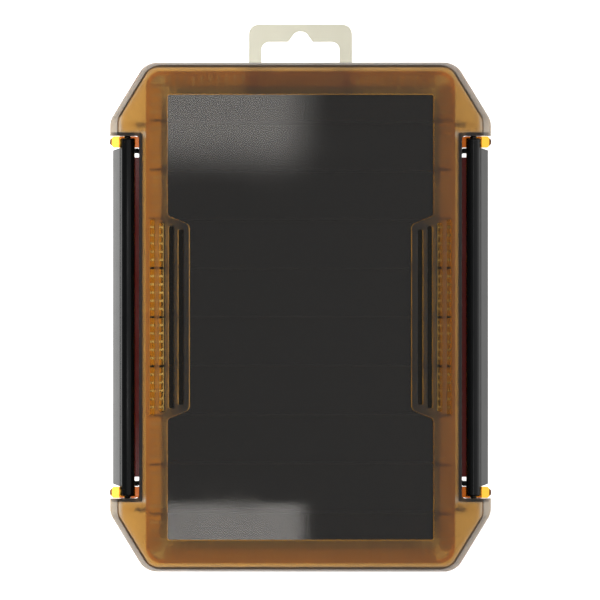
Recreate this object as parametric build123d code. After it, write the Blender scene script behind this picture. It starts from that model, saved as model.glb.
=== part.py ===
from build123d import *
from math import hypot
import os

# Lure case: an orange tub, a smoke lid that opens from either long side, and a bar along each of those sides.
# Frame: +Z up, +Y towards the hang tab, origin on the resting face under the middle of the tub. Millimetres.

# Outline of the case, seen from above
case_length = 205.0
case_width = 153.4
case_height = 40.0
corner_run_x = 14.3
corner_run_y = 23.4
end_corner_radius = 7.5
side_corner_radius = 7.0

# Lid
lid_plate = 1.8
lid_wall = 1.4
rim_above_axis = 0.5
side_slope = 3.4
corner_slope = 2.4
end_slope = 1.2
lid_edge_round = 0.7
seat_gap = 0.2
notch_half_length = 72.9
notch_corner_radius = 1.5
notch_wall_drop = 7.8
pivot_lug_radius = 3.0

# Window and grip grooves in the lid
window_length = 179.2
window_width = 107.2
window_waist = 89.4
waist_half_length = 40.7
waist_run = 3.6
window_depth = 0.5
window_corner_radius = 1.2
waist_round = 2.2
groove_count = 4
groove_width = 2.4
groove_pitch = 3.87
groove_margin = 3.34
groove_half_length = 39.5
groove_step = 1.35
groove_depth = 0.6

# Tub
tub_wall = 1.6
tub_floor = 2.4
tub_corner_radius = 6.5
tub_foot_round = 1.2
tub_end_gap = 1.0
swing_gap = 0.4

# Combs on the walls, and the dividers that stand in the long ones
comb_pitch = 3.3
comb_slot = 0.9
comb_depth = 4.55
comb_top_drop = 3.4
divider_count = 9
divider_thickness = 0.7
divider_end_gap = 0.25
divider_top_drop = 4.4
divider_corner = 3.0
mat_thickness = 3.0
mat_gap = 0.3

# Bars, which are latch and hinge in one
barrel_diameter = 6.0
bar_inset = 7.0
bar_drop = 6.2
barrel_end_round = 0.7
pivot_diameter = 2.5
pivot_clearance = 0.05
pivot_end_gap = 0.15
skirt_inset = 0.9
skirt_top = 1.0
skirt_shoulder = 4.7
skirt_drop = 8.7
skirt_thickness = 1.5
skirt_end_gap = 0.2
skirt_end_run = 0.8

# Hooks of the bars
hook_width = 2.0
hook_side_gap = 0.3
hook_window = 1.5
hook_top = 1.5
hook_face = 4.5
hook_face_top = 0.6
hook_waist = 4.3
hook_tip = 5.0
hook_back = 2.9
hook_back_top = 2.0
hook_bevel = 0.5
lip_gap = 0.75
lip_thickness = 1.25

# Rails, ledges and cradles of the tub
rail_lap = 0.6
shelf_top = 4.0
shelf_thickness = 1.6
ledge_gap = 0.2
cradle_width = 4.5
cradle_end_wall = 0.6
cradle_gap = 0.3
cradle_end_gap = 0.15
cradle_top = 1.2
cradle_point = 1.4
cradle_foot = 0.6

# Corner plates and their webs
corner_plate = 1.2
corner_plate_top = 0.1
plate_side_gap = 3.0
plate_corner_gap = 1.4
plate_end_gap = 0.5
plate_notch_gap = 0.25
gusset_setback = 2.2
gusset_thickness = 1.6
gusset_tip = 0.8
gusset_knee_in = 3.0
gusset_knee_drop = 4.2
gusset_drop = 12.0

# Hang tab
tab_width = 42.2
tab_reach = 20.7
tab_thickness = 0.8
tab_corner_radius = 4.0
tab_insertion = 12.3
tab_gap = 0.15
tab_lip = 0.4
tab_lip_width = 3.2
tab_band = 7.1
tab_band_at_peak = 2.9
slot_width = 32.0
slot_peak_width = 10.0
slot_peak_flat = 4.0
slot_clear_of_tub = 1.5
slot_corner_radius = 3.4
peak_round = 3.2

# Sizes that follow from the ones above
half_length = case_length / 2
half_width = case_width / 2
axis_x = half_width - bar_inset
axis_z = case_height - bar_drop
barrel_radius = barrel_diameter / 2
pivot_radius = pivot_diameter / 2
plate_z = case_height - lid_plate
rim_z = axis_z + rim_above_axis
notch_x = axis_x - hook_face - swing_gap
notch_bottom = plate_z - notch_wall_drop
notch_sweep = hypot(axis_x - notch_x + lid_wall, axis_z - notch_bottom)
tub_half_width = axis_x - notch_sweep - swing_gap
tub_half_length = half_length - end_slope - lid_wall - tub_end_gap
inner_x = tub_half_width - tub_wall
inner_y = tub_half_length - tub_wall
tub_top = plate_z - seat_gap
root_x = tub_half_width - tub_wall / 2
comb_x = inner_x - comb_depth
comb_y = inner_y - comb_depth
side_comb_slots = int(inner_y / comb_pitch - 0.5)
end_comb_slots = int(comb_x / comb_pitch - 0.5)
divider_spacing = round(2 * inner_y / (divider_count + 1) / comb_pitch)
mat_top = tub_floor + mat_thickness
shelf_z = axis_z - shelf_top
shelf_bottom = shelf_z - shelf_thickness
ledge_x = axis_x - hook_tip - ledge_gap
rail_x = axis_x - barrel_radius + rail_lap
cradle_outer_end = notch_half_length - cradle_end_gap
cradle_inner_end = cradle_outer_end - cradle_width
cradle_end = cradle_outer_end - cradle_end_wall
barrel_half_length = cradle_end - cradle_end_gap
skirt_reach = bar_inset - skirt_inset
skirt_half_length = cradle_inner_end - skirt_end_gap
hook_outer_end = cradle_inner_end - hook_side_gap
hook_inner_end = hook_outer_end - hook_width
rail_half_length = hook_inner_end - hook_window
lip_top = shelf_top + shelf_thickness + lip_gap
lip_bottom = lip_top + lip_thickness
groove_outer_x = window_waist / 2 + groove_margin + (groove_count - 1) * groove_pitch
corner_plate_z = axis_z - corner_plate_top
corner_plate_start = notch_half_length + lid_wall + plate_notch_gap
gusset_start = corner_plate_start + gusset_setback
tab_z = tab_lip + tab_gap
tab_inner_end = tub_half_length - tab_insertion
tab_top = tub_half_length + tab_reach
slot_bottom = tub_half_length + slot_clear_of_tub
slot_top = tab_top - tab_band
slot_peak = tab_top - tab_band_at_peak
chamfer_length = hypot(corner_run_x, corner_run_y)
chamfer_normal = (corner_run_y / chamfer_length, corner_run_x / chamfer_length)
chamfer_reach = chamfer_normal[0] * half_width + chamfer_normal[1] * (half_length - corner_run_y)


def slab(x0, x1, y0, y1, z0, z1):
    """A block between two corners."""
    middle = ((x0 + x1) / 2, (y0 + y1) / 2, (z0 + z1) / 2)
    return Pos(*middle) * Box(x1 - x0, y1 - y0, z1 - z0)


def both_ends(solid):
    """The solid and its mirror image across the middle of the case's length."""
    return solid + mirror(solid, about=Plane.XZ)


def both_sides(solid):
    """The solid and its mirror image across the middle of the case's width."""
    return solid + mirror(solid, about=Plane.YZ)


def outline(side_inset, end_inset, corner_inset):
    """The case's eight-sided outline, drawn in from its sides, ends and cut corners, with rounded corners."""
    hx = half_width - side_inset
    hy = half_length - end_inset
    reach = chamfer_reach - corner_inset
    end_x = (reach - chamfer_normal[1] * hy) / chamfer_normal[0]
    side_y = (reach - chamfer_normal[0] * hx) / chamfer_normal[1]
    quarter = [(hx, side_y), (end_x, hy)]
    left = [(-x, y) for x, y in reversed(quarter)]
    lower = [(-x, -y) for x, y in quarter + left]
    face = make_face(Polyline(*quarter, *left, *lower, close=True))
    ends = [v for v in face.vertices() if abs(abs(v.Y) - hy) < 1e-3]
    face = fillet(ends, end_corner_radius - corner_inset)
    sides = [v for v in face.vertices() if abs(abs(v.Y) - side_y) < 1e-3]
    return fillet(sides, side_corner_radius - corner_inset)


def frustum(z0, z1, low, high):
    """The solid between a lower and an upper outline."""
    return loft([Pos(0, 0, z0) * low, Pos(0, 0, z1) * high])


def rounded_plan(half_x, half_y, radius):
    """A rectangle with rounded corners, centred on the origin."""
    return RectangleRounded(2 * half_x, 2 * half_y, radius)


def prism(points, y0, y1):
    """A profile in X and Z, carried along Y from y0 to y1."""
    face = Plane.XZ * make_face(Polyline(*points, close=True))
    return Pos(0, y1, 0) * extrude(face, amount=y1 - y0)


def pivot_bar(radius, y0, y1):
    """A round bar along the right bar's axis, from y0 to y1."""
    return Pos(axis_x, (y0 + y1) / 2, axis_z) * Rot(90, 0, 0) * Cylinder(radius, y1 - y0)


def from_axis(points):
    """Points given outboard and upwards from the right bar's axis, as X and Z."""
    return [(axis_x + out, axis_z + up) for out, up in points]


def window_outline():
    """The polished window, narrowed along its middle by the two grip insets."""
    x0, x1 = window_width / 2, window_waist / 2
    y0, y1, y2 = window_length / 2, waist_half_length, waist_half_length - waist_run
    right = [(x0, y0), (x0, y1), (x1, y2), (x1, -y2), (x0, -y1), (x0, -y0)]
    left = [(-x, -y) for x, y in right]
    face = make_face(Polyline(*right, *left, close=True))
    corners = [v for v in face.vertices() if abs(v.Y) > y0 - 1e-3]
    face = fillet(corners, window_corner_radius)
    waist = [v for v in face.vertices() if abs(v.Y) < y1 + 1e-3]
    return fillet(waist, waist_round)


def groove_plan():
    """The grip grooves in one inset, each a little shorter than the one outside it."""
    grooves = Sketch()
    for i in range(groove_count):
        x = groove_outer_x - i * groove_pitch
        length = 2 * (groove_half_length - i * groove_step)
        grooves += Pos(x, 0) * Rot(0, 0, 90) * SlotOverall(length, groove_width)
    return grooves


def notch_plan(grow):
    """The room for a bar in the right side of the lid, grown by a wall."""
    x0 = notch_x - grow
    x1 = half_width + 2 * lid_wall
    half = notch_half_length + grow
    face = Pos((x0 + x1) / 2, 0) * Rectangle(x1 - x0, 2 * half)
    inner = [v for v in face.vertices() if v.X < x0 + 1e-3]
    return fillet(inner, notch_corner_radius + grow)


def lid_notch_walls():
    """The wall round a bar's room: deep along its length, shallow at its ends, with a lug at each pivot."""
    ring = extrude(notch_plan(lid_wall) - notch_plan(0), amount=plate_z - notch_bottom)
    ring = Pos(0, 0, notch_bottom) * ring
    reach = half_width + lid_wall
    end = notch_half_length + lid_wall
    room = slab(notch_x, reach, -end, end, notch_bottom, rim_z)
    lug = pivot_bar(pivot_lug_radius, notch_half_length, end)
    bore = pivot_bar(pivot_radius + pivot_clearance, notch_half_length - lid_wall, end + lid_wall)
    return ring - room, both_ends(lug), both_ends(bore)


def make_lid():
    """The lid: a sloped rim under a flat plate, cut away along both sides for the bars."""
    rim = outline(0, 0, 0)
    top = outline(side_slope, end_slope, corner_slope)
    rim_inside = outline(lid_wall, lid_wall, lid_wall)
    top_inside = outline(side_slope + lid_wall, end_slope + lid_wall, corner_slope + lid_wall)
    shell = frustum(rim_z, case_height, rim, top)
    shell = fillet(shell.faces().sort_by(Axis.Z)[-1].edges(), lid_edge_round)
    envelope = shell
    shell -= frustum(rim_z, plate_z, rim_inside, top_inside)
    notch = extrude(notch_plan(0), amount=case_height)
    shell -= both_sides(notch)
    walls, lugs, bores = lid_notch_walls()
    low = slab(-half_width, half_width, -half_length, half_length, 0, rim_z)
    shell += both_sides(walls & (envelope + low))
    shell = (shell + both_sides(lugs)) - both_sides(bores)
    recess = Pos(0, 0, case_height - window_depth) * extrude(window_outline(), amount=2 * window_depth)
    grooves = Pos(0, 0, case_height - groove_depth) * extrude(groove_plan(), amount=2 * groove_depth)
    return shell - recess - both_sides(grooves)


def comb(wall, slots):
    """The plan of the comb on the wall at this distance along X, with some slots on each side of its middle one."""
    length = (2 * slots + 1) * comb_pitch
    place = Pos(wall - comb_depth / 2, 0)
    grid = GridLocations(0, comb_pitch, 1, 2 * slots + 1)
    return place * Rectangle(comb_depth, length) - place * grid * Rectangle(comb_depth, comb_slot)


def tub_cavity():
    """The room inside the tub: comb slots up its four walls, plain above them."""
    plain = rounded_plan(inner_x, inner_y, tub_corner_radius - tub_wall)
    combed = plain - both_sides(comb(inner_x, side_comb_slots))
    combed -= both_ends(Rot(0, 0, 90) * comb(inner_y, end_comb_slots))
    comb_top = tub_top - comb_top_drop
    lower = Pos(0, 0, tub_floor) * extrude(combed, amount=comb_top - tub_floor)
    return lower + Pos(0, 0, comb_top) * extrude(plain, amount=case_height - comb_top)


def corner_plates():
    """The thin plate that fills each cut corner under the lid and runs across the ends."""
    plan = outline(lid_wall + plate_side_gap, lid_wall + plate_end_gap, lid_wall + plate_corner_gap)
    plan -= Rectangle(case_width, 2 * corner_plate_start)
    return Pos(0, 0, corner_plate_z - corner_plate) * extrude(plan, amount=corner_plate)


def gussets():
    """A web under each corner plate, clear of the lid as it swings."""
    out = bar_inset - lid_wall - plate_side_gap
    root = root_x - axis_x
    top = -corner_plate_top - corner_plate
    knee = (-gusset_knee_in, -gusset_knee_drop)
    web = [(root, top), (out, top), (out, top - gusset_tip), knee, (root, -gusset_drop)]
    one = prism(from_axis(web), gusset_start, gusset_start + gusset_thickness)
    return both_sides(both_ends(one))


def shelf():
    """The rail along one side, which reaches a little way under the bar, and its hook ledge, out to the cradles."""
    rail = slab(root_x, rail_x, -rail_half_length, rail_half_length, shelf_bottom, shelf_z)
    return rail + slab(root_x, ledge_x, -cradle_inner_end, cradle_inner_end, shelf_bottom, shelf_z)


def cradle():
    """The open-topped seat for one end of a bar, pointed where it stands out at the side."""
    top = axis_z + cradle_top
    inner_arm = notch_x + cradle_gap
    out = half_width
    block = [
        (root_x, shelf_bottom), (out - cradle_foot, shelf_bottom), (out, shelf_bottom + cradle_foot),
        (out, top), (inner_arm, top), (inner_arm, shelf_z), (root_x, shelf_z),
    ]
    y0, y1 = cradle_inner_end, cradle_outer_end
    body = prism(block, y0, y1)
    upright = body.edges().filter_by(Axis.Z)
    body = chamfer([e for e in upright if e.center().X > out - 0.1], cradle_point)
    upright = body.edges().filter_by(Axis.Z)
    corner = [e for e in upright if abs(e.center().X - inner_arm) < 0.01 and e.center().Y > y1 - 0.01]
    body = fillet(corner, notch_corner_radius)
    seat = barrel_radius + cradle_gap
    body -= pivot_bar(seat, y0, cradle_end)
    body -= slab(axis_x - seat, axis_x + seat, y0, cradle_end, axis_z, case_height)
    pin_seat = pivot_radius + cradle_gap
    body -= pivot_bar(pin_seat, y0, y1)
    return body - slab(axis_x - pin_seat, axis_x + pin_seat, y0, y1, axis_z, case_height)


def tab_pocket():
    """The pocket under the floor that holds the hang tab between two lips."""
    half = tab_width / 2 + tab_gap
    y0 = tab_inner_end - tab_gap
    room = slab(-half, half, y0, half_length, tab_lip, tab_z + tab_thickness + tab_gap)
    mouth = half - tab_lip_width
    return room + slab(-mouth, mouth, y0, half_length, 0, tab_lip)


def make_tub():
    """The tub, with its corner plates, gussets, rails, ledges and bar cradles."""
    body = extrude(rounded_plan(tub_half_width, tub_half_length, tub_corner_radius), amount=tub_top)
    body = fillet(body.faces().sort_by(Axis.Z)[0].edges(), tub_foot_round)
    body += corner_plates()
    body += gussets()
    body += both_sides(shelf())
    body += both_sides(both_ends(cradle()))
    return body - tub_cavity() - tab_pocket()


def bar_skirt():
    """The finger skirt that hangs outside the barrel, with slanted ends that clear the cradles."""
    out, inner = skirt_reach, skirt_reach - skirt_thickness
    profile = [
        (0, skirt_top), (barrel_radius, skirt_top), (out, -skirt_shoulder), (out, -skirt_drop),
        (inner, -skirt_drop), (inner, -skirt_shoulder), (inner - skirt_thickness, 0), (0, 0),
    ]
    half = skirt_half_length
    body = prism(from_axis(profile), -half, half)
    root, tip = axis_x + barrel_radius, axis_x + out
    slant = [(root, half), (tip, half), (tip, half - skirt_end_run)]
    cut = extrude(make_face(Polyline(*slant, close=True)), amount=case_height)
    return body - both_ends(cut)


def bar_hook():
    """The hook near one end of a bar, which swings in under the ledge."""
    profile = [
        (0, hook_top), (-barrel_radius, hook_top), (-hook_face, hook_face_top),
        (-hook_waist, notch_bottom - axis_z), (-hook_waist, -lip_top), (-hook_tip, -lip_top),
        (-hook_tip, hook_bevel - lip_bottom), (hook_bevel - hook_tip, -lip_bottom),
        (-hook_back, -lip_bottom), (-hook_back, -hook_back_top), (0, -hook_back_top),
    ]
    return prism(from_axis(profile), hook_inner_end, hook_outer_end)


def make_right_bar():
    """The bar on the right: barrel, end pivots, finger skirt and two hooks."""
    barrel = pivot_bar(barrel_radius, -barrel_half_length, barrel_half_length)
    barrel = fillet(barrel.edges().filter_by(GeomType.CIRCLE), barrel_end_round)
    pin_end = notch_half_length + lid_wall - pivot_end_gap
    pins = pivot_bar(pivot_radius, -pin_end, pin_end)
    return barrel + pins + bar_skirt() + both_ends(bar_hook())


def make_mat():
    """The soft black mat on the floor of the tub, between the combs."""
    plan = rounded_plan(comb_x - mat_gap, comb_y - mat_gap, tub_corner_radius - tub_wall)
    return Pos(0, 0, tub_floor) * extrude(plan, amount=mat_thickness)


def make_divider(slot):
    """The divider that stands in one pair of comb slots, resting on the mat."""
    half = inner_x - divider_end_gap
    height = tub_top - divider_top_drop - mat_top
    plan = Plane.XZ * RectangleRounded(2 * half, height, divider_corner)
    plate = extrude(plan, amount=divider_thickness / 2, both=True)
    return Pos(0, slot * comb_pitch, mat_top + height / 2) * plate


def make_hang_tab():
    """The flat hang tab, with a peg slot that rises to a peak in the middle."""
    half = tab_width / 2
    plan = Pos(0, (tab_inner_end + tab_top) / 2) * Rectangle(tab_width, tab_top - tab_inner_end)
    plan = fillet(plan.vertices().sort_by(Axis.Y)[-2:], tab_corner_radius)
    side = slot_width / 2
    wide, flat = slot_peak_width / 2, slot_peak_flat / 2
    right = [(side, slot_bottom), (side, slot_top), (wide, slot_top), (flat, slot_peak)]
    left = [(-x, y) for x, y in reversed(right)]
    hole = make_face(Polyline(*right, *left, close=True))
    top_corners = [v for v in hole.vertices() if abs(v.Y - slot_top) < 1e-3 and abs(v.X) > wide + 1]
    hole = fillet(top_corners, slot_corner_radius)
    peak = [v for v in hole.vertices() if abs(v.Y - slot_peak) < 1e-3]
    hole = fillet(peak, peak_round)
    return Pos(0, 0, tab_z) * extrude(plan - hole, amount=tab_thickness)


def all_pieces():
    """Every piece of the case by name."""
    right_bar = make_right_bar()
    pieces = {
        "tub": make_tub(),
        "lid": make_lid(),
        "right_bar": right_bar,
        "left_bar": mirror(right_bar, about=Plane.YZ),
        "hang_tab": make_hang_tab(),
        "floor_mat": make_mat(),
    }
    first = -(divider_count - 1) * divider_spacing // 2
    for i in range(divider_count):
        pieces[f"divider_{i + 1}"] = make_divider(first + i * divider_spacing)
    return pieces


os.makedirs("parts", exist_ok=True)
for name, piece in all_pieces().items():
    export_step(piece, f"parts/{name}.step")
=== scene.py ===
"""Looks of the lure case: its smoke lid, its black bars, and finishes for the moulded pieces."""

import logging
import math
from dataclasses import dataclass, field
from enum import Enum
from typing import Callable, Iterable, Optional, Sequence, Union

import bpy
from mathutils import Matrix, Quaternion, Vector

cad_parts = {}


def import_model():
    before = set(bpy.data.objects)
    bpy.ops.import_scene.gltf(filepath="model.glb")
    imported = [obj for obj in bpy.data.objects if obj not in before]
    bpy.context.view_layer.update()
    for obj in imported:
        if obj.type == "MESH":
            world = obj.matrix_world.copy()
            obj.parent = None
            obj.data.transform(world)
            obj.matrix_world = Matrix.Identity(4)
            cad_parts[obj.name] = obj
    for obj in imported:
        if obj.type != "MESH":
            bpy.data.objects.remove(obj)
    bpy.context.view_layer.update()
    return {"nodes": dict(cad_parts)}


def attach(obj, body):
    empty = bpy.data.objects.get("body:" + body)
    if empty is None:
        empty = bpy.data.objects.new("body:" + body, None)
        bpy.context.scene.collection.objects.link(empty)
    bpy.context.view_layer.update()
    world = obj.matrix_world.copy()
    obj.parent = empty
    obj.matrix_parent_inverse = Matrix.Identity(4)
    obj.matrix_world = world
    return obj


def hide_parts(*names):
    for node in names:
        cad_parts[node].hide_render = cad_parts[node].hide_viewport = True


FRAME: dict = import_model()

log = logging.getLogger("lure_case")

MM = 0.001
Colour = tuple[float, float, float]
Point = tuple[float, float, float]
Socket = bpy.types.NodeSocket


class Side(Enum):
    """A long side of the case, by its direction along X."""

    LEFT = -1
    RIGHT = 1


class Cut(Enum):
    """What a boolean cut does with the two shapes."""

    REMOVE = "DIFFERENCE"
    ADD = "UNION"


# Modelling helpers


def deselect() -> None:
    """Leave edit mode and clear the selection, so that an operator acts on one object alone."""
    if bpy.context.object and bpy.context.object.mode != "OBJECT":
        bpy.ops.object.mode_set(mode="OBJECT")
    bpy.ops.object.select_all(action="DESELECT")


def pick(piece: bpy.types.Object) -> None:
    """Make one object the selected and active one."""
    deselect()
    piece.select_set(True)
    bpy.context.view_layer.objects.active = piece


def metres(point: Sequence[float]) -> Vector:
    """A point in millimetres as a vector in metres."""
    return Vector(point) * MM


def settle(piece: bpy.types.Object) -> bpy.types.Object:
    """Put an object's place, turn and size into its mesh, so that the object sits at the origin."""
    pick(piece)
    bpy.ops.object.transform_apply(location=True, rotation=True, scale=True)
    return piece


def block(name: str, low: Point, high: Point) -> bpy.types.Object:
    """Add a cube primitive between two corners.

    Args:
        name: Name of the new object.
        low: Lowest corner, in millimetres.
        high: Highest corner, in millimetres.

    Returns:
        The new object, at the origin, with its place in its mesh.
    """
    deselect()
    middle = [(a + b) / 2 * MM for a, b in zip(low, high)]
    size = [(b - a) * MM for a, b in zip(low, high)]
    bpy.ops.mesh.primitive_cube_add(size=1, location=middle, scale=size)
    piece = bpy.context.object
    piece.name = name
    return settle(piece)


def rod(
    name: str, x: float, z: float, y0: float, y1: float, radius: float, sides: int = 48
) -> bpy.types.Object:
    """Add a cylinder primitive that lies along Y.

    Args:
        name: Name of the new object.
        x: Place of its axis along X, in millimetres.
        z: Height of its axis, in millimetres.
        y0: Start along Y, in millimetres.
        y1: End along Y, in millimetres.
        radius: Radius in millimetres.
        sides: Number of faces round it.

    Returns:
        The new object, at the origin.
    """
    deselect()
    bpy.ops.mesh.primitive_cylinder_add(
        vertices=sides,
        radius=radius * MM,
        depth=(y1 - y0) * MM,
        location=metres((x, (y0 + y1) / 2, z)),
        rotation=(math.pi / 2, 0, 0),
    )
    piece = bpy.context.object
    piece.name = name
    return settle(piece)


def select_by(piece: bpy.types.Object, kind: str, test: Callable[[Vector, Vector], bool]) -> None:
    """Enter edit mode with the faces, edges or vertices selected that pass a test.

    Args:
        piece: The mesh object.
        kind: FACE, EDGE or VERT.
        test: Takes a place in millimetres and a direction, and says whether to select. The direction
            is a face's normal or an edge's run, and zero for a vertex.
    """
    pick(piece)
    bpy.ops.object.mode_set(mode="EDIT")
    bpy.context.tool_settings.mesh_select_mode = (kind == "VERT", kind == "EDGE", kind == "FACE")
    bpy.ops.mesh.select_all(action="DESELECT")
    bpy.ops.object.mode_set(mode="OBJECT")
    mesh = piece.data
    places = [v.co / MM for v in mesh.vertices]
    if kind == "FACE":
        for face in mesh.polygons:
            face.select = test(face.center / MM, face.normal)
    elif kind == "EDGE":
        for edge in mesh.edges:
            a, b = (places[i] for i in edge.vertices)
            edge.select = test((a + b) / 2, (b - a).normalized())
    else:
        for vertex in mesh.vertices:
            vertex.select = test(vertex.co / MM, Vector())
    bpy.ops.object.mode_set(mode="EDIT")


def done(piece: bpy.types.Object) -> bpy.types.Object:
    """Go back to object mode."""
    bpy.ops.object.mode_set(mode="OBJECT")
    return piece


def slice_at(piece: bpy.types.Object, place: Point, normal: Point, trim: bool) -> None:
    """Cut a mesh with a plane.

    Args:
        piece: The mesh object.
        place: A point on the plane, in millimetres.
        normal: Direction of the plane's outer side.
        trim: Whether the outer side goes and the cut is filled. Otherwise the cut only adds edges.
    """
    select_by(piece, "FACE", lambda at, way: True)
    bpy.ops.mesh.bisect(
        plane_co=metres(place),
        plane_no=Vector(normal).normalized(),
        use_fill=trim,
        clear_outer=trim,
        threshold=1e-7,
    )
    done(piece)


def shift(piece: bpy.types.Object, kind: str, test: Callable[[Vector, Vector], bool], move: Point) -> None:
    """Move the selected part of a mesh by a vector in millimetres."""
    select_by(piece, kind, test)
    bpy.ops.transform.translate(value=metres(move))
    done(piece)


def round_edges(
    piece: bpy.types.Object, test: Callable[[Vector, Vector], bool], width: float, segments: int = 4
) -> None:
    """Bevel the edges that pass a test, by a width in millimetres."""
    select_by(piece, "EDGE", test)
    bpy.ops.mesh.bevel(offset=width * MM, segments=segments, profile=0.5, clamp_overlap=True)
    done(piece)


def apply_all(piece: bpy.types.Object) -> bpy.types.Object:
    """Apply every modifier of an object, in order."""
    pick(piece)
    for modifier in list(piece.modifiers):
        bpy.ops.object.modifier_apply(modifier=modifier.name)
    return piece


def combine(piece: bpy.types.Object, tool: bpy.types.Object, cut: Cut) -> bpy.types.Object:
    """Cut a shape from another, or join the two, and delete the second one.

    Args:
        piece: The shape that stays.
        tool: The shape that is taken away or added.
        cut: Whether it is taken away or added.

    Returns:
        The shape that stays.
    """
    modifier = piece.modifiers.new("shape", "BOOLEAN")
    modifier.operation = cut.value
    modifier.solver = "EXACT"
    modifier.object = tool
    apply_all(piece)
    bpy.data.objects.remove(tool)
    return piece


def mirrored(piece: bpy.types.Object, axis: str) -> bpy.types.Object:
    """Copy a shape across the middle of the case along X or Y, with its faces still turned outwards."""
    pick(piece)
    bpy.ops.object.duplicate()
    twin = bpy.context.object
    twin.scale = (-1, 1, 1) if axis == "X" else (1, -1, 1)
    settle(twin)
    bpy.ops.object.mode_set(mode="EDIT")
    bpy.ops.mesh.select_all(action="SELECT")
    bpy.ops.mesh.normals_make_consistent(inside=False)
    return done(twin)


def clean(piece: bpy.types.Object) -> bpy.types.Object:
    """Merge doubled points and take out the edges that cross a flat face."""
    pick(piece)
    bpy.ops.object.mode_set(mode="EDIT")
    bpy.ops.mesh.select_all(action="SELECT")
    bpy.ops.mesh.remove_doubles(threshold=2e-6)
    bpy.ops.mesh.dissolve_limited(angle_limit=math.radians(0.4))
    return done(piece)


def smooth(piece: bpy.types.Object, angle: float = 35.0) -> bpy.types.Object:
    """Shade the rounded parts smooth, up to an angle in degrees, and keep flat faces flat."""
    pick(piece)
    bpy.ops.object.shade_smooth_by_angle(angle=math.radians(angle))
    flat = piece.modifiers.new("flat faces stay flat", "WEIGHTED_NORMAL")
    flat.keep_sharp = True
    return apply_all(piece)


# Finishes


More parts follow.
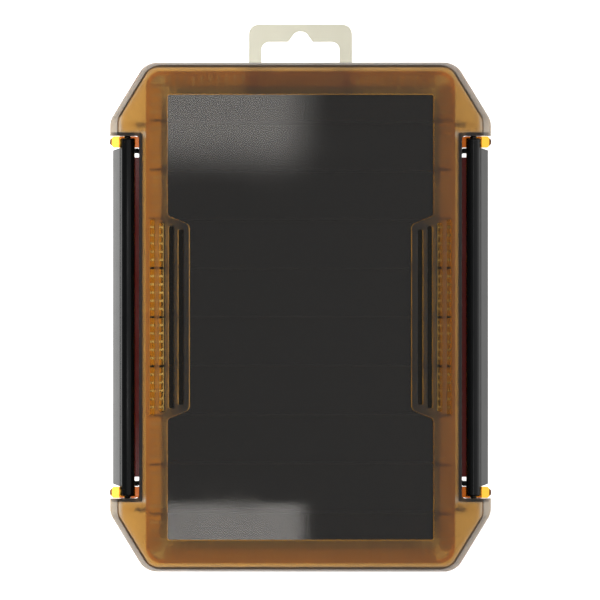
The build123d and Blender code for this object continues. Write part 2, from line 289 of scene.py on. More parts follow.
class Nodes:
    """A material's node tree, with short ways to add the nodes that the finishes share."""

    def __init__(self, name: str) -> None:
        """Start an empty material with an output and a Principled shader."""
        self.material = bpy.data.materials.new(name)
        self.material.use_nodes = True
        self.tree = self.material.node_tree
        self.tree.nodes.clear()
        self.output = self.tree.nodes.new("ShaderNodeOutputMaterial")
        self.shader = self.tree.nodes.new("ShaderNodeBsdfPrincipled")
        self.link(self.shader.outputs["BSDF"], self.output.inputs["Surface"])
        self.place = self.tree.nodes.new("ShaderNodeTexCoord").outputs["Object"]

    def link(self, source: Socket, target: Socket) -> None:
        """Link two sockets."""
        self.tree.links.new(source, target)

    def feed(self, socket: Socket, value: Union[Socket, float, tuple[float, ...]]) -> None:
        """Link a socket to another one, or set it to a number or a colour."""
        if isinstance(value, Socket):
            self.link(value, socket)
        else:
            socket.default_value = value

    def set(self, **values: Union[float, Colour]) -> None:
        """Set sockets of the shader to constants, by their names with underscores for blanks."""
        for key, value in values.items():
            socket = self.shader.inputs[key.replace("_", " ")]
            socket.default_value = (*value, 1.0) if isinstance(value, tuple) else value

    def stretched(self, along: Point) -> Socket:
        """Object coordinates scaled along each axis, for marks that run one way."""
        mapping = self.tree.nodes.new("ShaderNodeMapping")
        mapping.inputs["Scale"].default_value = along
        self.link(self.place, mapping.inputs["Vector"])
        return mapping.outputs["Vector"]

    def noise(self, size: float, detail: float = 2.0, vector: Optional[Socket] = None) -> Socket:
        """Noise whose blotches are about size millimetres across."""
        node = self.tree.nodes.new("ShaderNodeTexNoise")
        node.inputs["Scale"].default_value = 1 / (size * MM)
        node.inputs["Detail"].default_value = detail
        self.link(vector or self.place, node.inputs["Vector"])
        return node.outputs["Fac"]

    def cells(self, size: float) -> Socket:
        """Distance to the middle of cells about size millimetres across."""
        node = self.tree.nodes.new("ShaderNodeTexVoronoi")
        node.inputs["Scale"].default_value = 1 / (size * MM)
        self.link(self.place, node.inputs["Vector"])
        return node.outputs["Distance"]

    def spread(self, source: Socket, low: float, high: float, start: float = 0.3, end: float = 0.7) -> Socket:
        """Map a value between start and end to a value between low and high."""
        node = self.tree.nodes.new("ShaderNodeMapRange")
        node.inputs["From Min"].default_value = start
        node.inputs["From Max"].default_value = end
        node.inputs["To Min"].default_value = low
        node.inputs["To Max"].default_value = high
        self.link(source, node.inputs["Value"])
        return node.outputs["Result"]

    def blend(self, factor: Socket, first: Union[Socket, Colour], second: Union[Socket, Colour]) -> Socket:
        """A colour between two, by a factor."""
        node = self.tree.nodes.new("ShaderNodeMix")
        node.data_type = "RGBA"
        self.link(factor, node.inputs[0])
        for socket, colour in zip((node.inputs[6], node.inputs[7]), (first, second)):
            self.feed(socket, (*colour, 1.0) if isinstance(colour, tuple) else colour)
        return node.outputs[2]

    def math(self, operation: str, *values: Union[Socket, float]) -> Socket:
        """Do sums with sockets and numbers."""
        node = self.tree.nodes.new("ShaderNodeMath")
        node.operation = operation
        for socket, value in zip(node.inputs, values):
            self.feed(socket, value)
        return node.outputs["Value"]

    def mask(self, name: str) -> Socket:
        """A mask that the piece holds as an attribute of its faces."""
        node = self.tree.nodes.new("ShaderNodeAttribute")
        node.attribute_name = name
        return node.outputs["Fac"]

    def within(self, low: Point, high: Point) -> Socket:
        """One inside a box and outside it zero.

        Args:
            low: Lowest corner in millimetres, by the distance from the middle of the case along X and Y.
            high: Highest corner in the same way.

        Returns:
            The factor.
        """
        split = self.tree.nodes.new("ShaderNodeSeparateXYZ")
        self.link(self.place, split.inputs["Vector"])
        factor: Union[Socket, float] = 1.0
        for axis, a, b in zip("XYZ", low, high):
            reach = self.math("ABSOLUTE", split.outputs[axis])
            inside = self.math("COMPARE", reach, (a + b) / 2 * MM, (b - a) / 2 * MM)
            factor = self.math("MULTIPLY", factor, inside)
        return factor

    def absorb(self, tint: Colour, density: float) -> None:
        """Let the plastic take light away along its depth: a density per metre and the tint that is left."""
        volume = self.tree.nodes.new("ShaderNodeVolumeAbsorption")
        volume.inputs["Color"].default_value = (*tint, 1.0)
        volume.inputs["Density"].default_value = density
        self.link(volume.outputs["Volume"], self.output.inputs["Volume"])

    def colour(self, socket: Socket) -> None:
        """Drive the shader's colour."""
        self.link(socket, self.shader.inputs["Base Color"])

    def roughness(self, socket: Socket) -> None:
        """Drive the shader's roughness."""
        self.link(socket, self.shader.inputs["Roughness"])

    def relief(self, *layers: tuple[Socket, float]) -> None:
        """Chain bumps onto the shader, each from a height and its depth in millimetres."""
        below = None
        for height, depth in layers:
            bump = self.tree.nodes.new("ShaderNodeBump")
            bump.inputs["Strength"].default_value = 1.0
            bump.inputs["Distance"].default_value = depth * MM
            self.link(height, bump.inputs["Height"])
            if below:
                self.link(below, bump.inputs["Normal"])
            below = bump.outputs["Normal"]
        self.link(below, self.shader.inputs["Normal"])


@dataclass(frozen=True)
class SmokePlastic:
    """The lid: smoke plastic with a fine grain, clear and glossy where the polish mask says so, and with
    painted shade tinting the floors of the grooves darker.
    """

    skin: Colour = (0.99, 0.985, 0.98)
    hazy_skin: Colour = (0.95, 0.945, 0.94)
    # Painted shade: a dark tint for the floors of the grooves.
    groove_shade: Colour = (0.36, 0.31, 0.22)
    depth_tint: Colour = (0.49, 0.385, 0.22)
    density: float = 1000.0
    frosted: tuple[float, float] = (0.46, 0.56)
    polished: tuple[float, float] = (0.015, 0.045)
    grain: float = 0.45
    grain_depth: float = 0.012
    hairline_depth: float = 0.0010
    sink_depth: float = 0.008

    def build(self) -> bpy.types.Material:
        """Make the material."""
        nodes = Nodes("smoke_plastic")
        nodes.set(Transmission_Weight=0.95, IOR=1.5)
        nodes.absorb(self.depth_tint, self.density)
        polish = nodes.mask("polish")
        frost = nodes.math("SUBTRACT", 1.0, polish)
        skin = nodes.blend(nodes.noise(38.0), self.skin, self.hazy_skin)
        # Painted shade: the groove mask darkens the floors of the grooves.
        nodes.colour(nodes.blend(nodes.mask("groove"), skin, self.groove_shade))
        rough = nodes.spread(nodes.noise(9.0, 4.0), *self.frosted)
        clear = nodes.spread(nodes.noise(16.0, 5.0), *self.polished, 0.45, 0.75)
        dull = nodes.math("MULTIPLY", rough, frost)
        glossy = nodes.math("MULTIPLY", clear, polish)
        nodes.roughness(nodes.math("ADD", dull, glossy))
        grain = nodes.math("MULTIPLY", nodes.noise(self.grain, 3.0), frost)
        hairlines = nodes.math("MULTIPLY", nodes.noise(0.6, 1.0, nodes.stretched((1.0, 0.03, 1.0))), polish)
        nodes.relief((nodes.noise(45.0, 0.0), self.sink_depth), (grain, self.grain_depth),
                     (hairlines, self.hairline_depth))
        return nodes.material


@dataclass(frozen=True)
class AmberPlastic:
    """The tub: see-through orange that gets deeper where light runs a long way through it."""

    tint: Colour = (0.95, 0.57, 0.14)
    pale_tint: Colour = (0.96, 0.61, 0.17)
    # Painted shade: the rails, in shadow between the lid's notch walls and the barrels, are painted near
    # black red.
    rail_shade_tint: Colour = (0.03, 0.0008, 0.0)
    rail_shade_low: Point = (64.6, 0.0, 28.1)
    rail_shade_high: Point = (67.4, 64.7, 29.9)
    # Painted shade: the seats at the bar ends, shaded by the barrel ends and the lid's walls, are painted
    # dark brown.
    seat_shade_tint: Colour = (0.28, 0.07, 0.006)
    seat_shade_low: Point = (64.6, 67.0, 28.1)
    seat_shade_high: Point = (72.9, 72.9, 36.0)
    depth_tint: Colour = (0.965, 0.905, 0.42)
    density: float = 300.0
    low_roughness: float = 0.08
    high_roughness: float = 0.16

    def build(self) -> bpy.types.Material:
        """Make the material, with painted shade: near black red painted on the rails beside the bars and dark
        brown painted on the bars' seats, where the barrels and the lid's walls shade them.
        """
        nodes = Nodes("amber_plastic")
        nodes.set(Transmission_Weight=1.0, IOR=1.5)
        nodes.absorb(self.depth_tint, self.density)
        colour = nodes.blend(nodes.noise(30.0), self.tint, self.pale_tint)
        # Painted shade: boxes placed by location darken the rails and the seats.
        for tint, low, high in (
            (self.rail_shade_tint, self.rail_shade_low, self.rail_shade_high),
            (self.seat_shade_tint, self.seat_shade_low, self.seat_shade_high),
        ):
            colour = nodes.blend(nodes.within(low, high), colour, tint)
        nodes.colour(colour)
        nodes.roughness(nodes.spread(nodes.noise(12.0, 4.0), self.low_roughness, self.high_roughness))
        nodes.relief((nodes.noise(25.0, 0.0), 0.02), (nodes.noise(0.5, 2.0), 0.004))
        return nodes.material


@dataclass(frozen=True)
class BlackGloss:
    """The bars: glossy black plastic, with hairlines along them and a faint haze where fingers pull."""

    dark: Colour = (0.008, 0.009, 0.010)
    worn: Colour = (0.014, 0.015, 0.016)
    low_roughness: float = 0.14
    high_roughness: float = 0.26

    def build(self) -> bpy.types.Material:
        """Make the material."""
        nodes = Nodes("black_gloss")
        nodes.set(IOR=1.48)
        nodes.colour(nodes.blend(nodes.noise(14.0, 3.0), self.dark, self.worn))
        nodes.roughness(nodes.spread(nodes.noise(6.0, 5.0), self.low_roughness, self.high_roughness))
        hairlines = nodes.noise(0.35, 2.0, nodes.stretched((1.0, 0.02, 1.0)))
        nodes.relief((hairlines, 0.004), (nodes.noise(8.0, 0.0), 0.012))
        return nodes.material


@dataclass(frozen=True)
class BlackSheet:
    """The dividers: black sheet plastic with a satin skin and rubbed edges."""

    dark: Colour = (0.004, 0.004, 0.004)
    rubbed: Colour = (0.009, 0.009, 0.008)

    def build(self) -> bpy.types.Material:
        """Make the material."""
        nodes = Nodes("black_sheet")
        nodes.set(IOR=1.48)
        rubbing = nodes.spread(nodes.noise(5.0, 5.0), 0.0, 1.0, 0.5, 0.8)
        nodes.colour(nodes.blend(rubbing, self.dark, self.rubbed))
        nodes.roughness(nodes.spread(nodes.noise(3.0, 3.0), 0.38, 0.55))
        nodes.relief((nodes.noise(0.4, 2.0), 0.01))
        return nodes.material


@dataclass(frozen=True)
class BlackFoam:
    """The floor mat: closed-cell black foam with small open cells in its cut skin."""

    dark: Colour = (0.006, 0.006, 0.006)
    pale: Colour = (0.016, 0.016, 0.015)
    cell: float = 0.9

    def build(self) -> bpy.types.Material:
        """Make the material."""
        nodes = Nodes("black_foam")
        nodes.set(IOR=1.45, Sheen_Weight=0.1, Sheen_Roughness=0.6)
        cells = nodes.cells(self.cell)
        nodes.colour(nodes.blend(nodes.spread(cells, 0.0, 1.0, 0.1, 0.7), self.pale, self.dark))
        nodes.roughness(nodes.spread(nodes.noise(4.0, 3.0), 0.82, 0.95))
        nodes.relief((cells, 0.12), (nodes.noise(14.0), 0.15))
        return nodes.material


@dataclass(frozen=True)
class NaturalPlastic:
    """The hang tab: milky undyed plastic that lets some light through."""

    milky: Colour = (0.60, 0.585, 0.50)
    cloudy: Colour = (0.56, 0.545, 0.46)

    def build(self) -> bpy.types.Material:
        """Make the material."""
        nodes = Nodes("natural_plastic")
        nodes.set(Transmission_Weight=0.8, IOR=1.49)
        nodes.colour(nodes.blend(nodes.noise(9.0, 4.0), self.milky, self.cloudy))
        nodes.roughness(nodes.spread(nodes.noise(2.5, 3.0), 0.42, 0.58))
        nodes.relief((nodes.noise(0.5, 2.0), 0.012), (nodes.noise(12.0), 0.05))
        return nodes.material


@dataclass(frozen=True)
class PaleFloor:
    """The plain pale surface that the case lies on, lit from below like a light table, more on its left.

    The glow ends a little way to the left of the picture.
    """

    pale: Colour = (0.86, 0.86, 0.85)
    glow_left: float = 2.1
    glow_right: float = 1.1
    reach: float = 0.10
    glow_end: tuple[float, float] = (-0.22, -0.13)

    def build(self) -> bpy.types.Material:
        """Make the material."""
        nodes = Nodes("pale_floor")
        nodes.set(Emission_Color=(1.0, 0.995, 0.98))
        split = nodes.tree.nodes.new("ShaderNodeSeparateXYZ")
        nodes.link(nodes.place, split.inputs["Vector"])
        glow = nodes.spread(split.outputs["X"], self.glow_left, self.glow_right, -self.reach, self.reach)
        lit = nodes.spread(split.outputs["X"], 0.05, 1.0, *self.glow_end)
        nodes.link(nodes.math("MULTIPLY", glow, lit), nodes.shader.inputs["Emission Strength"])
        nodes.colour(nodes.blend(nodes.noise(90.0), self.pale, tuple(0.985 * c for c in self.pale)))
        nodes.roughness(nodes.spread(nodes.noise(20.0), 0.75, 0.85))
        return nodes.material


# The lid


@dataclass
class Lid:
    """The smoke lid: a sloped eight-sided shell with two bar notches, a polished window and grip grooves.

    Lengths are in millimetres.
    """

    half_length: float = 102.5
    half_width: float = 76.7
    top: float = 40.0
    rim: float = 34.3
    plate: float = 1.8
    wall: float = 1.4
    run_x: float = 14.3
    run_y: float = 23.4
    side_slope: float = 3.4
    corner_slope: float = 2.4
    end_slope: float = 1.2
    end_round: float = 4.2
    side_round: float = 1.95
    top_round: float = 0.55
    notch_x: float = 64.8
    notch_half: float = 72.9
    notch_round: float = 1.5
    notch_bottom: float = 30.4
    axis_x: float = 69.7
    axis_z: float = 33.8
    lug_radius: float = 3.0
    bore_radius: float = 1.3
    window_half_length: float = 89.6
    window_half_width: float = 53.6
    waist_half_width: float = 44.7
    waist_half_length: float = 40.7
    waist_run: float = 3.6
    window_depth: float = 0.5
    window_slope: float = 0.25
    groove_x: tuple[float, ...] = (59.65, 55.78, 51.91, 48.04)
    groove_half: tuple[float, ...] = (39.5, 38.15, 36.8, 35.45)
    groove_width: float = 2.4
    groove_depth: float = 0.6
    groove_corner: float = 0.9
    groove_slope: float = 0.3
    smoke: SmokePlastic = field(default_factory=SmokePlastic)

    def slopes(self) -> list[tuple[Point, Point]]:
        """The eight sloped sides.

        Returns:
            For each side a point on it at the rim, in millimetres, and the direction that it faces.
        """
        rise = self.top - self.rim
        run = math.hypot(self.run_x, self.run_y)
        cx, cy = self.run_y / run, self.run_x / run
        corner = (self.half_width, self.half_length - self.run_y)
        sides = []
        for sx in (-1, 1):
            sides.append(((sx * self.half_width, 0, self.rim), (sx * rise, 0, self.side_slope)))
            sides.append(((0, sx * self.half_length, self.rim), (0, sx * rise, self.end_slope)))
            for sy in (-1, 1):
                at = (sx * corner[0], sy * corner[1], self.rim)
                sides.append((at, (sx * cx * rise, sy * cy * rise, self.corner_slope)))
        return sides

    def eight_sided(self, name: str, inset: float, low: float, high: float) -> bpy.types.Object:
        """Cut a block to the lid's eight sloped sides and round the edges between them.

        Args:
            name: Name of the new object.
            inset: How far the sides are drawn in.
            low: Bottom of the block.
            high: Top of the block.

        Returns:
            The new object.
        """
        reach_x, reach_y = self.half_width + 5, self.half_length + 5
        body = block(name, (-reach_x, -reach_y, low), (reach_x, reach_y, high))
        for at, way in self.slopes():
            flat = Vector((way[0], way[1], 0)).normalized() * inset
            slice_at(body, tuple(Vector(at) - flat), way, trim=True)
        steep = lambda way: abs(way.z) > 0.5
        y_end = self.half_length - self.run_y / 2
        shrink = max(0.3, 1 - inset / 4)
        round_edges(body, lambda at, way: steep(way) and abs(at.y) > y_end, self.end_round * shrink, 10)
        round_edges(body, lambda at, way: steep(way) and abs(at.y) < y_end, self.side_round * shrink, 6)
        return body

    def shell(self) -> bpy.types.Object:
        """The hollow shell with the walls that close it off from the bars."""
        lid = self.eight_sided("smoke_lid", 0.0, self.rim, self.top)
        round_edges(
            lid, lambda at, way: abs(at.z - self.top) < 0.01 and abs(way.z) < 0.01, self.top_round, 4
        )
        hollow = self.eight_sided("hollow", self.wall, self.rim - 2, self.top - self.plate)
        end = self.notch_half + self.wall
        inner = self.notch_x - self.wall
        for side in Side:
            x0, x1 = sorted((side.value * inner, side.value * (self.half_width + 9)))
            keep = block("keep", (x0, -end, self.rim - 4), (x1, end, self.top + 4))
            near = lambda at, way: abs(way.z) > 0.9 and abs(abs(at.x) - inner) < 0.1
            round_edges(keep, near, self.notch_round + self.wall, 6)
            combine(hollow, keep, Cut.REMOVE)
        combine(lid, hollow, Cut.REMOVE)
        for side in Side:
            self.cut_notch(lid, side)
        return lid

    def cut_notch(self, lid: bpy.types.Object, side: Side) -> None:
        """Hang the long inner wall of a notch, cut the room for the bar, and add the two pivot lugs.

        Args:
            lid: The shell.
            side: The long side that the notch is on.
        """
        s = side.value
        inner = self.notch_x - self.wall
        end = self.notch_half + self.wall
        x0, x1 = sorted((s * inner, s * self.notch_x))
        skirt = block("skirt", (x0, -end, self.notch_bottom), (x1, end, self.top - self.plate / 2))
        far = lambda at, way: abs(way.z) > 0.9 and abs(abs(at.x) - inner) < 0.1
        round_edges(skirt, far, self.wall * 0.9, 5)
        combine(lid, skirt, Cut.ADD)
        for y in (-end, self.notch_half):
            combine(lid, rod("lug", s * self.axis_x, self.axis_z, y, y + self.wall, self.lug_radius), Cut.ADD)
        x0, x1 = sorted((s * self.notch_x, s * (self.half_width + 9)))
        room = block("room", (x0, -self.notch_half, self.rim - 6), (x1, self.notch_half, self.top + 4))
        near = lambda at, way: abs(way.z) > 0.9 and abs(abs(at.x) - self.notch_x) < 0.1
        round_edges(room, near, self.notch_round, 5)
        combine(lid, room, Cut.REMOVE)
        for y in (-end - 1, self.notch_half - 1):
            bore = rod("bore", s * self.axis_x, self.axis_z, y, y + self.wall + 2, self.bore_radius, 32)
            combine(lid, bore, Cut.REMOVE)

    def window_cutter(self) -> bpy.types.Object:
        """The shape that sinks the window: a box drawn in along its waist, with sloped sides."""
        hx, hy = self.window_half_width, self.window_half_length
        floor = self.top - self.window_depth
        cutter = block("window", (-hx, -hy, floor), (hx, hy, self.top + 3))
        waist_end = self.waist_half_length - self.waist_run
        for y in (-self.waist_half_length, -waist_end, waist_end, self.waist_half_length):
            slice_at(cutter, (0, y, 0), (0, 1, 0), trim=False)
        draw_in = hx - self.waist_half_width
        for side in Side:
            beside = lambda at, way: at.x * side.value > hx - 0.1 and abs(at.y) < waist_end + 0.1
            shift(cutter, "VERT", beside, (-side.value * draw_in, 0, 0))
        upright = lambda way: abs(way.z) > 0.9
        clean(cutter)
        round_edges(cutter, lambda at, way: upright(way) and abs(at.y) > hy - 0.1, 1.2, 5)
        round_edges(cutter, lambda at, way: upright(way) and abs(at.y) < hy - 3, 1.45, 6)
        low = lambda at, way: abs(way.z) < 0.1 and at.z < floor + 0.01
        round_edges(cutter, low, self.window_slope, 1)
        return cutter

    def groove_cutter(self, x: float, half: float) -> bpy.types.Object:
        """The shape that presses one groove: a long bar with rounded corners and a sloped foot."""
        reach, floor = self.groove_width / 2, self.top - self.groove_depth
        bar = block("groove", (x - reach, -half, floor), (x + reach, half, self.top + 3))
        round_edges(bar, lambda at, way: abs(way.z) > 0.9, self.groove_corner, 6)
        round_edges(bar, lambda at, way: abs(way.z) < 0.1 and at.z < floor + 0.01, self.groove_slope, 3)
        return bar

    def beside_grooves(self, at: Vector) -> bool:
        """Whether a place is as far out along X as the grooves are."""
        reach = self.groove_width / 2 + 0.05
        return self.groove_x[-1] - reach < abs(at.x) < self.groove_x[0] + reach

    def groove_end(self, at: Vector) -> float:
        """How far the grooves reach along Y at a place's distance along X."""
        step = (self.groove_half[0] - self.groove_half[-1]) / (self.groove_x[0] - self.groove_x[-1])
        return self.groove_half[0] - step * (self.groove_x[0] - self.groove_width / 2 - abs(at.x))

    def round_rims(self, lid: bpy.types.Object) -> None:
        """Round the edges that a finger meets: at the notches, window, grooves and lower rim."""
        clean(lid)
        flat = lambda way: abs(way.z) < 0.02
        on_top = lambda at, way: flat(way) and abs(at.z - self.top) < 0.01
        in_notch = lambda at: abs(at.x) > self.notch_x - 0.02 and abs(at.y) < self.notch_half + 0.02
        window_x, window_y = self.window_half_width + 0.1, self.window_half_length + 0.1
        in_window = lambda at: abs(at.x) < window_x and abs(at.y) < window_y
        near_groove = lambda at: self.beside_grooves(at) and abs(at.y) < self.groove_end(at) + 0.1
        round_edges(lid, lambda at, way: on_top(at, way) and in_notch(at), 0.3, 3)
        round_edges(lid, lambda at, way: on_top(at, way) and in_window(at) and not near_groove(at), 0.14, 2)
        round_edges(lid, lambda at, way: on_top(at, way) and near_groove(at), 0.12, 2)
        foot = lambda at, way: flat(way) and abs(at.z - self.notch_bottom) < 0.01
        round_edges(lid, foot, 0.35, 3)

    def dress(self, lid: bpy.types.Object) -> None:
        """Give the lid its finish, and mark the polished faces and the floors of the grooves, which get
        painted shade.
        """
        lid.data.materials.clear()
        lid.data.materials.append(self.smoke.build())
        for name, test in (("polish", self.is_polished), ("groove", self.is_groove_floor)):
            mask = lid.data.attributes.new(name, "FLOAT", "FACE")
            values = [float(test(face.center / MM, face.normal)) for face in lid.data.polygons]
            mask.data.foreach_set("value", values)

    def is_groove_floor(self, at: Vector, way: Vector) -> bool:
        """Whether a face, by its middle in millimetres and its direction, is the floor of a groove."""
        inside = self.beside_grooves(at) and abs(at.y) < self.groove_end(at)
        return inside and way.z > 0.99 and at.z < self.top - 0.4

    def is_polished(self, at: Vector, way: Vector) -> bool:
        """Whether a face belongs to the polished parts.

        Args:
            at: The face's middle in millimetres.
            way: The direction that it faces.

        Returns:
            True for the window, the floors of the grooves and the lid's underside.
        """
        x, y = abs(at.x), abs(at.y)
        if way.z < -0.3:
            return True
        if self.beside_grooves(at) and y < self.groove_end(at):
            return self.is_groove_floor(at, way)
        in_window = x < self.window_half_width and y < self.window_half_length
        return in_window and way.z > 0.99 and at.z < self.top - 0.4

    def build(self) -> bpy.types.Object:
        """Model and dress the lid, and let it ride on its body in place of the plain solid."""
        lid = self.shell()
        combine(lid, self.window_cutter(), Cut.REMOVE)
        for x, half in zip(self.groove_x, self.groove_half):
            for side in Side:
                combine(lid, self.groove_cutter(side.value * x, half), Cut.REMOVE)
        self.round_rims(lid)
        smooth(lid)
        self.dress(lid)
        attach(lid, "lid")
        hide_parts("lid")
        return lid


# The bars


@dataclass
class Bar:
    """A glossy bar: barrel, end pivots, finger skirt and two hooks. Lengths are in millimetres."""

    side: Side
    axis_x: float = 69.7
    axis_z: float = 33.8
    barrel_radius: float = 3.0
    barrel_half: float = 72.0
    barrel_round: float = 0.7
    pivot_radius: float = 1.25
    pivot_half: float = 74.15
    skirt_half: float = 68.05
    skirt_run: float = 0.8
    skirt_out: float = 6.1
    skirt_wall: float = 1.5
    skirt_top: float = 1.0
    skirt_edge: float = 0.4
    shoulder: float = 4.7
    drop: float = 8.7
    hook_from: float = 65.95
    hook_to: float = 67.95
    gloss: BlackGloss = field(default_factory=BlackGloss)

    def skirt(self) -> bpy.types.Object:
        """The finger skirt: a wall raised from its lower edge, drawn in to the barrel, with rounded edges."""
        x, z = self.axis_x, self.axis_z
        out, inner = x + self.skirt_out, x + self.skirt_out - self.skirt_wall
        half, knee = self.skirt_half, z - self.shoulder
        skirt = block("skirt", (inner, -half, z - self.drop), (out, half, knee))
        select_by(skirt, "FACE", lambda at, way: way.z > 0.9)
        bpy.ops.mesh.extrude_region_move(TRANSFORM_OT_translate={"value": metres((0, 0, self.shoulder))})
        done(skirt)
        top = lambda at: at.z > z - 0.1
        shift(skirt, "VERT", lambda at, _: top(at) and at.x > out - 0.1,
              (self.barrel_radius - self.skirt_out, 0, self.skirt_top))
        shift(skirt, "VERT", lambda at, _: top(at) and abs(at.x - inner) < 0.01, (-self.skirt_wall, 0, 0))
        for way in (-1, 1):
            outer_end = lambda at, _: at.y * way > 60 and at.x > x + 4
            shift(skirt, "VERT", outer_end, (0, -way * self.skirt_run, 0))
        along = lambda way: abs(way.y) > 0.9
        round_edges(skirt, lambda at, way: along(way) and abs(at.z - knee) < 0.1 and at.x > out - 0.1, 0.9, 4)
        round_edges(skirt, lambda at, way: along(way) and at.z < z - self.drop + 0.1, self.skirt_edge, 3)
        select_by(skirt, "FACE", lambda at, way: way.x < -0.5 and at.z > z + 0.4)
        bpy.ops.mesh.extrude_region_move(TRANSFORM_OT_translate={"value": metres((-2.6, 0, 0))})
        return done(skirt)

    def hook(self) -> bpy.types.Object:
        """One hook: a leg down the inner side of the barrel, with a lip at its foot."""
        x, z = self.axis_x, self.axis_z
        y0, y1 = self.hook_from, self.hook_to
        leg = block("hook", (x - 4.3, y0, z - 7.6), (x - 2.9, y1, z - 6.35))
        select_by(leg, "FACE", lambda at, way: way.z > 0.9)
        bpy.ops.mesh.extrude_region_move(TRANSFORM_OT_translate={"value": metres((0, 0, 2.95))})
        bpy.ops.mesh.extrude_region_move(TRANSFORM_OT_translate={"value": metres((0, 0, 4.0))})
        bpy.ops.mesh.extrude_region_move(TRANSFORM_OT_translate={"value": metres((0, 0, 0.9))})
        done(leg)
        top = z + 0.6
        shift(leg, "VERT", lambda at, _: at.x < x - 4 and abs(at.z - top) < 0.05, (-0.2, 0, 0))
        shift(leg, "VERT", lambda at, _: at.z > z + 1.4 and at.x < x - 4, (1.3, 0, 0))
        shift(leg, "VERT", lambda at, _: at.z > z - 2 and at.x > x - 3.2, (2.9, 0, 0))
        select_by(leg, "FACE", lambda at, way: way.x < -0.9 and at.z < z - 6.4)
        bpy.ops.mesh.extrude_region_move(TRANSFORM_OT_translate={"value": metres((-0.7, 0, 0))})
        done(leg)
        corner = lambda at, way: abs(way.y) > 0.9 and at.x < x - 4.9 and at.z < z - 7.5
        round_edges(leg, corner, 0.45, 2)
        return leg

    def build(self) -> bpy.types.Object:
        """Model and dress the bar, and let it ride on its body in place of the plain solid."""
        name = self.side.name.lower()
        x, z = self.axis_x, self.axis_z
        bar = rod(f"{name}_bar_gloss", x, z, -self.barrel_half, self.barrel_half, self.barrel_radius, 64)
        end = lambda at, way: abs(abs(at.y) - self.barrel_half) < 0.01 and abs(way.y) < 0.1
        round_edges(bar, end, self.barrel_round, 4)
        pin = rod("pivot", x, z, -self.pivot_half, self.pivot_half, self.pivot_radius, 32)
        tip = lambda at, way: abs(abs(at.y) - self.pivot_half) < 0.01 and abs(way.y) < 0.1
        round_edges(pin, tip, 0.25, 2)
        combine(bar, pin, Cut.ADD)
        combine(bar, self.skirt(), Cut.ADD)
        hook = self.hook()
        twin = mirrored(hook, "Y")
        combine(bar, hook, Cut.ADD)
        combine(bar, twin, Cut.ADD)
        clean(bar)
        smooth(bar)
        if self.side is Side.LEFT:
            right = bar
            bar = mirrored(right, "X")
            bpy.data.objects.remove(right)
            bar.name = f"{name}_bar_gloss"
        bar.data.materials.clear()
        bar.data.materials.append(self.gloss.build())
        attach(bar, f"{name}_bar")
        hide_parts(f"{name}_bar")
        return bar


# Carried-over pieces


@dataclass
class CarriedPieces:
    """The moulded pieces whose solids already have the right shape and only get their finish."""

    amber: AmberPlastic = field(default_factory=AmberPlastic)
    sheet: BlackSheet = field(default_factory=BlackSheet)
    foam: BlackFoam = field(default_factory=BlackFoam)
    natural: NaturalPlastic = field(default_factory=NaturalPlastic)

    def dress(self, names: Iterable[str], material: bpy.types.Material) -> None:
        """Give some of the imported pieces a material."""
        for name in names:
            piece = FRAME["nodes"][name]
            piece.data.materials.clear()
            piece.data.materials.append(material)
            log.info("%s: dressed in %s", name, material.name)

    def build(self) -> None:
        """Dress all of them."""
        self.dress(["tub"], self.amber.build())
        self.dress(["floor_mat"], self.foam.build())
        self.dress(["hang_tab"], self.natural.build())
        self.dress([n for n in FRAME["nodes"] if n.startswith("divider")], self.sheet.build())


# Studio


@dataclass
class Panel:
    """A soft light panel with faded edges: its middle, what it looks at, its size and its brightness.

    Lengths are in metres. The turn is about the panel's own middle, in degrees.
    """

    name: str
    place: Point
    target: Point
    size: tuple[float, float]
    radiance: float
    fade: tuple[float, float] = (0.05, 0.05)
    turn: float = 0.0

    def build(self) -> bpy.types.Object:
        """Add the area light, with the power that gives its brightness."""
        deselect()
        bpy.ops.object.light_add(type="AREA", location=self.place)
        lamp = bpy.context.object
        lamp.name = self.name
        lamp.data.shape = "RECTANGLE"
        lamp.data.size, lamp.data.size_y = self.size
        lamp.data.energy = self.radiance * math.pi * self.size[0] * self.size[1]
        way = Vector(self.target) - Vector(self.place)
        spin = Quaternion((0, 0, 1), math.radians(self.turn))
        lamp.rotation_euler = (way.to_track_quat("-Z", "Y") @ spin).to_euler()
        self.fade_edges(lamp)
        return lamp

    def fade_edges(self, lamp: bpy.types.Object) -> None:
        """Let the panel grow dark towards its edges, as a softbox does."""
        lamp.data.use_nodes = True
        tree = lamp.data.node_tree
        split = tree.nodes.new("ShaderNodeSeparateXYZ")
        tree.links.new(tree.nodes.new("ShaderNodeNewGeometry").outputs["Parametric"], split.inputs["Vector"])
        strength: Optional[Socket] = None
        for axis, length, fade in zip("XY", self.size, self.fade):
            for end in (0.0, 1.0):
                ramp = tree.nodes.new("ShaderNodeMapRange")
                ramp.interpolation_type = "SMOOTHSTEP"
                ramp.inputs["From Min"].default_value = end
                ramp.inputs["From Max"].default_value = abs(end - fade / length)
                tree.links.new(split.outputs[axis], ramp.inputs["Value"])
                if strength:
                    product = tree.nodes.new("ShaderNodeMath")
                    product.operation = "MULTIPLY"
                    tree.links.new(strength, product.inputs[0])
                    tree.links.new(ramp.outputs["Result"], product.inputs[1])
                    strength = product.outputs["Value"]
                else:
                    strength = ramp.outputs["Result"]
        tree.links.new(strength, tree.nodes["Emission"].inputs["Strength"])


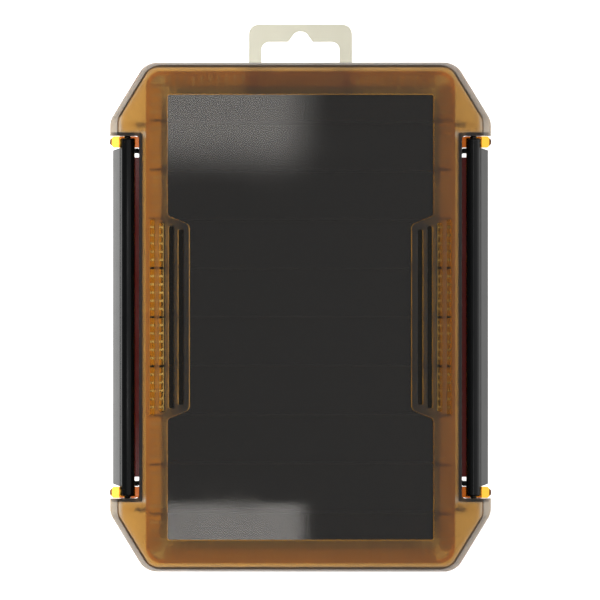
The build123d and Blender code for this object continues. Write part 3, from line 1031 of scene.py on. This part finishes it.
@dataclass
class Studio:
    """A plain pale floor, soft light panels and the camera, which looks straight down at the lid."""

    camera_height: float = 2.04
    frame_width: float = 0.2408
    frame_middle: tuple[float, float] = (-0.0002, 0.0069)
    dark_side: float = 0.12
    bright_side: float = 0.37
    backdrop: float = 0.6
    panel_height: float = 2.3

    def floor(self) -> bpy.types.Object:
        """Lay the floor."""
        deselect()
        bpy.ops.mesh.primitive_plane_add(size=4.0, location=(0, 0, 0))
        floor = bpy.context.object
        floor.name = "floor"
        floor.data.materials.append(PaleFloor().build())
        return floor

    def lights(self) -> None:
        """Place the two panels overhead that the window mirrors on its left."""
        upper, lower = (-0.115, 0.267), (-0.128, -0.274)
        height = self.panel_height
        Panel("upper_left", (*upper, height), (*upper, 0.0), (0.29, 0.32), 2.45, turn=-3.0).build()
        Panel("lower_left", (*lower, height), (*lower, 0.0), (0.28, 0.22), 3.1, (0.02, 0.008)).build()

    def world(self) -> None:
        """Fill the room with dim light, more from the right, with a bright backdrop low down on the right."""
        world = bpy.data.worlds.new("room")
        world.use_nodes = True
        tree = world.node_tree
        split = tree.nodes.new("ShaderNodeSeparateXYZ")
        tree.links.new(tree.nodes.new("ShaderNodeTexCoord").outputs["Generated"], split.inputs["Vector"])

        def ramp(axis: str, start: float, end: float, low: float, high: float) -> Socket:
            """A soft step along one axis of the direction."""
            node = tree.nodes.new("ShaderNodeMapRange")
            node.interpolation_type = "SMOOTHSTEP"
            for key, value in zip(("From Min", "From Max", "To Min", "To Max"), (start, end, low, high)):
                node.inputs[key].default_value = value
            tree.links.new(split.outputs[axis], node.inputs["Value"])
            return node.outputs["Result"]

        def total(operation: str, first: Socket, second: Socket) -> Socket:
            """Add or multiply two brightnesses."""
            node = tree.nodes.new("ShaderNodeMath")
            node.operation = operation
            tree.links.new(first, node.inputs[0])
            tree.links.new(second, node.inputs[1])
            return node.outputs["Value"]

        low = ramp("Z", 0.17, 0.75, self.backdrop, 0.0)
        low_down = total("MULTIPLY", low, ramp("X", -0.2, 0.5, 0.0, 1.0))
        room = total("ADD", ramp("X", -0.35, 0.5, self.dark_side, self.bright_side), low_down)
        tree.nodes["Background"].inputs["Color"].default_value = (1.0, 1.0, 1.0, 1.0)
        tree.links.new(room, tree.nodes["Background"].inputs["Strength"])
        bpy.context.scene.world = world

    def camera(self) -> None:
        """Hang the camera over the case, as far away as the photograph's perspective says."""
        deselect()
        x, y = self.frame_middle
        bpy.ops.object.camera_add(location=(x, y, self.camera_height), rotation=(0, 0, 0))
        camera = bpy.context.object
        camera.name = "camera"
        camera.data.sensor_width = 36.0
        camera.data.lens = 36.0 * (self.camera_height - 0.040) / self.frame_width
        bpy.context.scene.camera = camera

    def build(self) -> None:
        """Set up the floor, the light, the room and the camera."""
        self.floor()
        self.lights()
        self.world()
        self.camera()
        bpy.context.scene.view_settings.view_transform = "Standard"


def main() -> None:
    """Build the scene, piece by piece, and log how many faces each modelled piece has."""
    logging.basicConfig(level=logging.INFO, format="%(message)s")
    Studio().build()
    for piece in (Lid().build(), Bar(Side.RIGHT).build(), Bar(Side.LEFT).build()):
        log.info("%s: %d faces", piece.name, len(piece.data.polygons))
    CarriedPieces().build()


if __name__ == "__main__":
    main()
